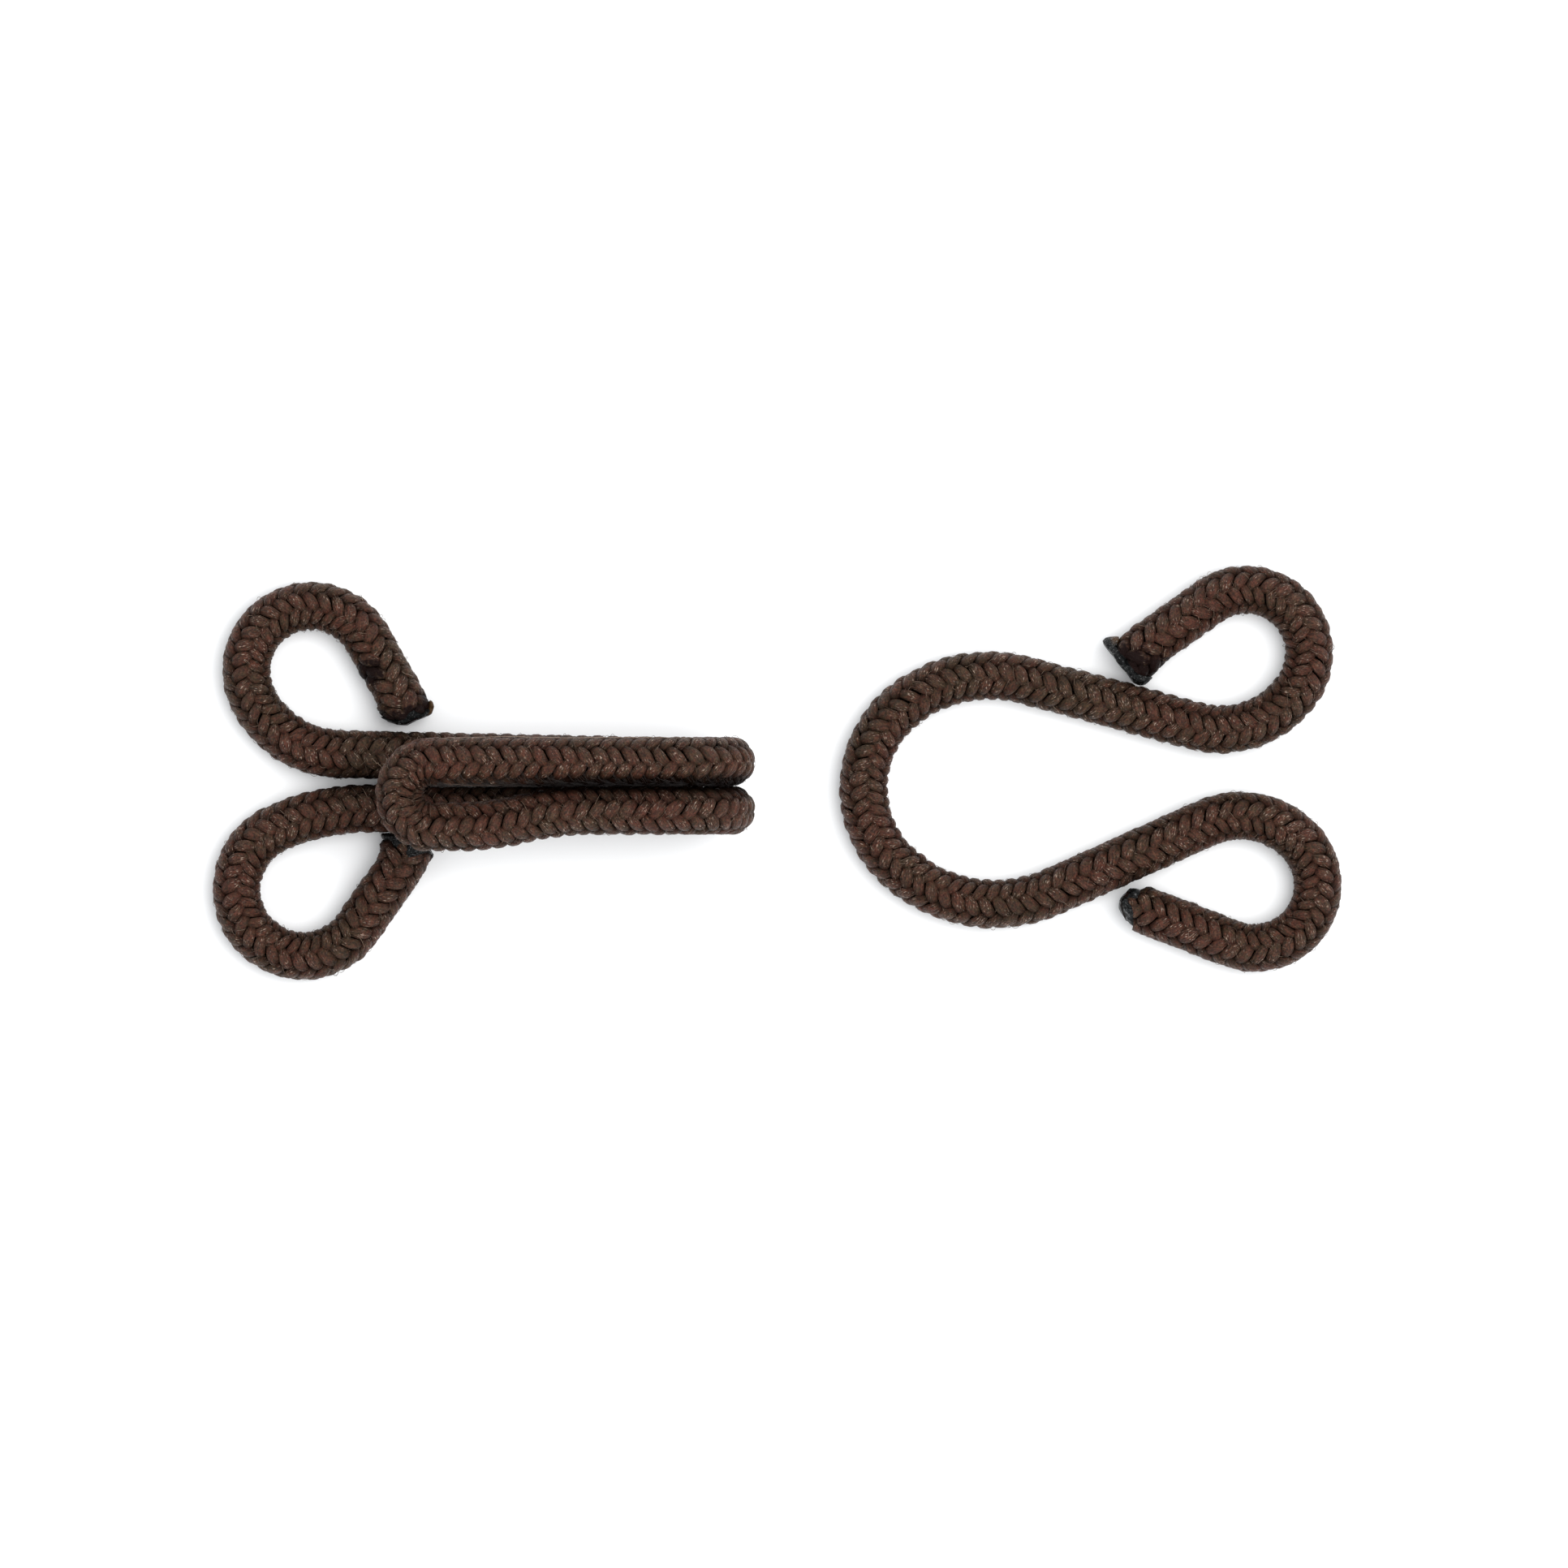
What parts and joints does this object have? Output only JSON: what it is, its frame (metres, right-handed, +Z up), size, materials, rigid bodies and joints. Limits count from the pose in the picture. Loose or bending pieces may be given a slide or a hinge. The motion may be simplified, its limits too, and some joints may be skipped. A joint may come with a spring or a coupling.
{
  "type": "hook and eye clasp",
  "caption": "Cord-covered wire hook with a matching wire eye, both with sewing loops, for closing a coat or fur edge to edge.",
  "frame": {"origin": "on the surface that both halves lie on, under the middle of the pair", "axes": "+X along the clasp from the hook to the eye, +Y across it, +Z up from the surface"},
  "size_m": [0.0706, 0.0258, 0.0105],
  "materials": {
    "braided_cord": "dark brown braided polyester cord",
    "steel_wire": "bright drawn steel wire",
    "melted_seal": "melted and hardened polyester, nearly black"
  },
  "bodies": {
    "root": {"hook_wire": "steel_wire", "hook_sleeve": "braided_cord", "hook_seal_upper": "melted_seal", "hook_seal_lower": "melted_seal", "eye_wire": "steel_wire", "eye_sleeve": "braided_cord", "eye_seal_upper": "melted_seal", "eye_seal_lower": "melted_seal"}
  },
  "joints": []
}
